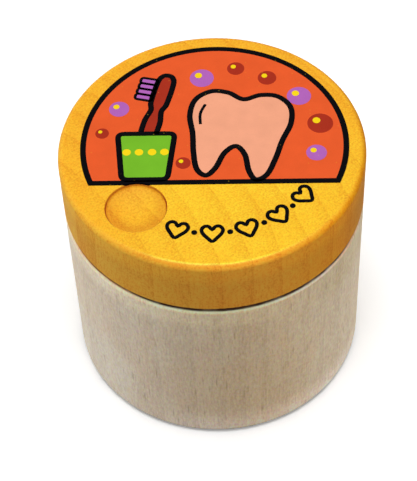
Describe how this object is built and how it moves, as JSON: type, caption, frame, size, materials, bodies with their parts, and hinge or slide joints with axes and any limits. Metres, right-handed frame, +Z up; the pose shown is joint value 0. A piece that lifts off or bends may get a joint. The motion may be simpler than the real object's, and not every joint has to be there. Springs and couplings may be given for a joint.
{
  "type": "baby tooth box",
  "caption": "Small round turned wooden box for baby teeth: a natural wood cup with a round well, closed by a yellow stained lid with a finger dish that swings aside on a hidden screw.",
  "frame": {"origin": "centre of the underside, on the surface that the box stands on", "axes": "+Z up along the box's axis, -Y the front, seen from which the lid's finger dish lies at the front left"},
  "size_m": [0.045, 0.045, 0.0424],
  "materials": {
    "natural_wood": "pale fine-flecked wood, sanded, clear matt oil",
    "yellow_stained_wood": "yellow stain under a satin clear lacquer",
    "zinc_plated_steel": "zinc plated",
    "ink_orange": "opaque screen-printed ink, satin",
    "ink_black": "opaque screen-printed ink, satin",
    "ink_peach": "opaque screen-printed ink, satin",
    "ink_red": "opaque screen-printed ink, satin",
    "ink_green": "opaque screen-printed ink, satin",
    "ink_violet": "opaque screen-printed ink, satin",
    "ink_yellow": "opaque screen-printed ink, satin"
  },
  "bodies": {
    "base": {"body": "natural_wood", "pivot_washer": "zinc_plated_steel", "bottom_plug": "natural_wood"},
    "lid": {"lid": "yellow_stained_wood", "pivot_screw": "zinc_plated_steel"}
  },
  "joints": [
    {"name": "lid_swing", "type": "hinge", "parent": "base", "child": "lid", "pos_m": [0.01176, 0.01262, 0.03235], "axis": [0, 0, 1], "range_deg": [-180, 180]}
  ]
}
